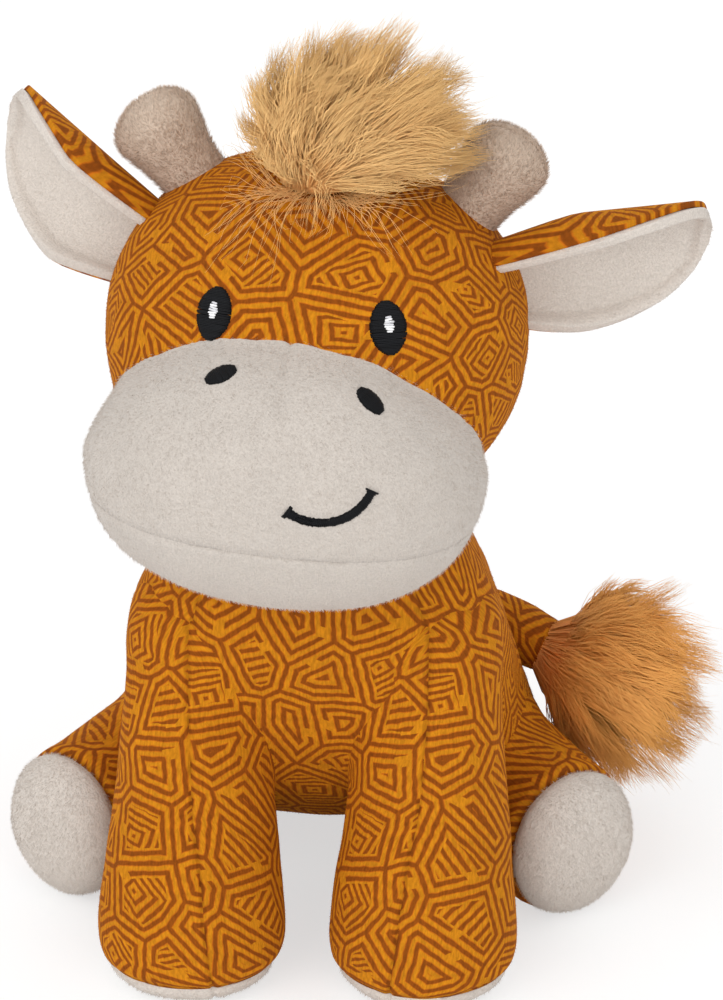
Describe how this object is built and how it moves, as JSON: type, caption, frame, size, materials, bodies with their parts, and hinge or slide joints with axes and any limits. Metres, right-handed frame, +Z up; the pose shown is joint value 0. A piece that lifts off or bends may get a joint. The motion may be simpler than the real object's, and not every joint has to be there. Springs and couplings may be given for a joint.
{
  "type": "plush giraffe dog toy",
  "caption": "Sitting plush giraffe toy for dogs, with a wide muzzle, club horns, cupped ears, long-pile tufts and a squeaker in its belly.",
  "frame": {"origin": "centre of the seat's flat, where the toy's bottom meets the ground", "axes": "+Z up, the face looks along -Y, the toy's own left is +X"},
  "size_m": [0.1821, 0.1456, 0.2371],
  "materials": {
    "printed_velour": "short-pile printed velour",
    "cream_plush": "short-pile plush",
    "taupe_plush": "short-pile plush",
    "crown_pile": "long-pile faux fur",
    "tail_pile": "long-pile faux fur",
    "black_thread": "satin stitch",
    "white_thread": "satin stitch",
    "filling": "polyester fibre",
    "squeaker_vinyl": "blown vinyl"
  },
  "bodies": {
    "torso": {"torso_cover": "printed_velour", "torso_filling_upper": "filling", "torso_filling_lower": "filling", "squeaker_bulb": "squeaker_vinyl", "squeaker_reed": "squeaker_vinyl"},
    "head": {"head_cover": "printed_velour", "muzzle_cover": "cream_plush", "chin_cover": "cream_plush", "head_filling": "filling", "eye_left": "black_thread", "eye_right": "black_thread", "eye_glint_left": "white_thread", "eye_glint_right": "white_thread", "nostril_left": "black_thread", "nostril_right": "black_thread", "smile": "black_thread", "horn_cover_left": "taupe_plush", "horn_cover_right": "taupe_plush", "horn_filling_left": "filling", "horn_filling_right": "filling", "crown_tuft": "crown_pile"},
    "ear_left": {"ear_back_left": "printed_velour", "ear_lining_left": "cream_plush"},
    "ear_right": {"ear_back_right": "printed_velour", "ear_lining_right": "cream_plush"},
    "front_leg_left": {"front_leg_cover_left": "printed_velour", "front_leg_filling_left": "filling", "front_sole_left": "cream_plush"},
    "front_leg_right": {"front_leg_cover_right": "printed_velour", "front_leg_filling_right": "filling", "front_sole_right": "cream_plush"},
    "hind_leg_left": {"hind_leg_cover_left": "printed_velour", "hind_leg_filling_left": "filling", "hind_sole_left": "cream_plush"},
    "hind_leg_right": {"hind_leg_cover_right": "printed_velour", "hind_leg_filling_right": "filling", "hind_sole_right": "cream_plush"},
    "tail": {"tail_cover": "printed_velour", "tail_filling": "filling", "tail_tuft": "tail_pile"}
  },
  "joints": [
    {"name": "head_turn", "type": "hinge", "parent": "torso", "child": "head", "pos_m": [0, -0.055, 0.158], "axis": [0, 0, 1], "range_deg": [-15, 15], "stiffness_Nm_per_rad": 0.08},
    {"name": "ear_left_droop", "type": "hinge", "parent": "head", "child": "ear_left", "pos_m": [0.04442, -0.05132, 0.17108], "axis": [0.0523, 0.9986, 0], "range_deg": [-4, 20], "stiffness_Nm_per_rad": 0.01},
    {"name": "ear_right_droop", "type": "hinge", "parent": "head", "child": "ear_right", "pos_m": [-0.04163, -0.04681, 0.17234], "axis": [-0.0523, -0.9986, 0], "range_deg": [-4, 20], "stiffness_Nm_per_rad": 0.01},
    {"name": "front_leg_left_swing", "type": "hinge", "parent": "torso", "child": "front_leg_left", "pos_m": [0.0295, -0.0795, 0.091], "axis": [-1, 0, 0], "range_deg": [0, 25], "stiffness_Nm_per_rad": 0.2},
    {"name": "front_leg_right_swing", "type": "hinge", "parent": "torso", "child": "front_leg_right", "pos_m": [-0.0295, -0.0795, 0.091], "axis": [-1, 0, 0], "range_deg": [0, 25], "stiffness_Nm_per_rad": 0.2},
    {"name": "hind_leg_left_splay", "type": "hinge", "parent": "torso", "child": "hind_leg_left", "pos_m": [0.046, -0.01, 0.023], "axis": [0, 0, 1], "range_deg": [0, 15], "stiffness_Nm_per_rad": 0.15},
    {"name": "hind_leg_right_splay", "type": "hinge", "parent": "torso", "child": "hind_leg_right", "pos_m": [-0.046, -0.01, 0.023], "axis": [0, 0, -1], "range_deg": [0, 15], "stiffness_Nm_per_rad": 0.15},
    {"name": "tail_swing", "type": "hinge", "parent": "torso", "child": "tail", "pos_m": [0.02, 0.005, 0.053], "axis": [0, 0, 1], "range_deg": [0, 45], "stiffness_Nm_per_rad": 0.02}
  ]
}
